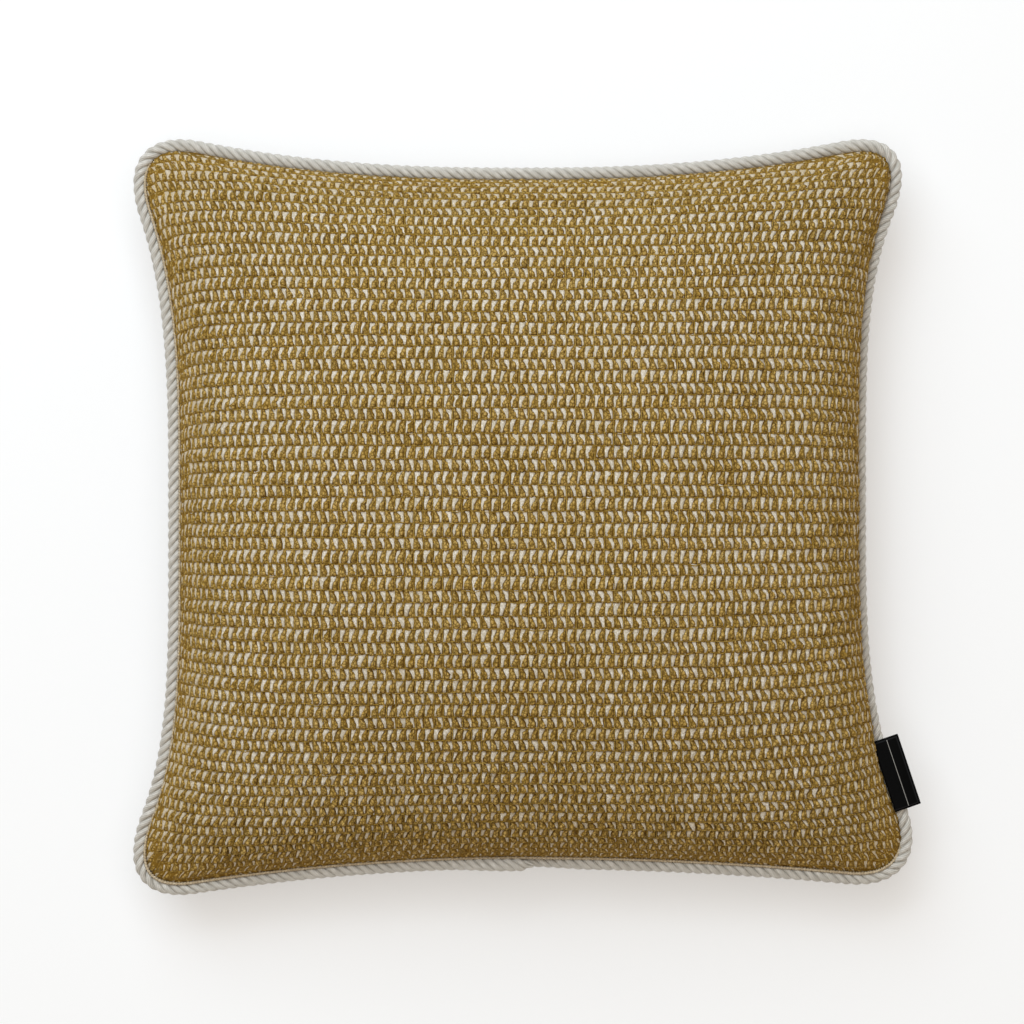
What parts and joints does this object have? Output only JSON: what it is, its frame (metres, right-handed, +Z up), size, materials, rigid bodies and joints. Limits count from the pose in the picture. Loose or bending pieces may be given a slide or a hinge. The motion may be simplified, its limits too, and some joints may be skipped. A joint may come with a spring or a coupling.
{
  "type": "crochet cushion",
  "caption": "Filled square cushion with a two-colour crochet cover, a twisted edge cord and a blank folded side label, lying on its back.",
  "frame": {"origin": "on the floor under the middle of the cushion, in the flat patch of its back", "axes": "+Z up out of the face, +Y towards the top of the face, +X towards the side with the label"},
  "size_m": [0.513, 0.4931, 0.1515],
  "materials": {
    "crochet_yarn": "matte ochre and off-white crochet",
    "cord_yarn": "satin off-white twisted yarn",
    "label_satin": "satin black woven ribbon"
  },
  "bodies": {
    "root": {"filled_cover": "crochet_yarn", "edge_cord": "cord_yarn", "side_label": "label_satin"}
  },
  "joints": []
}
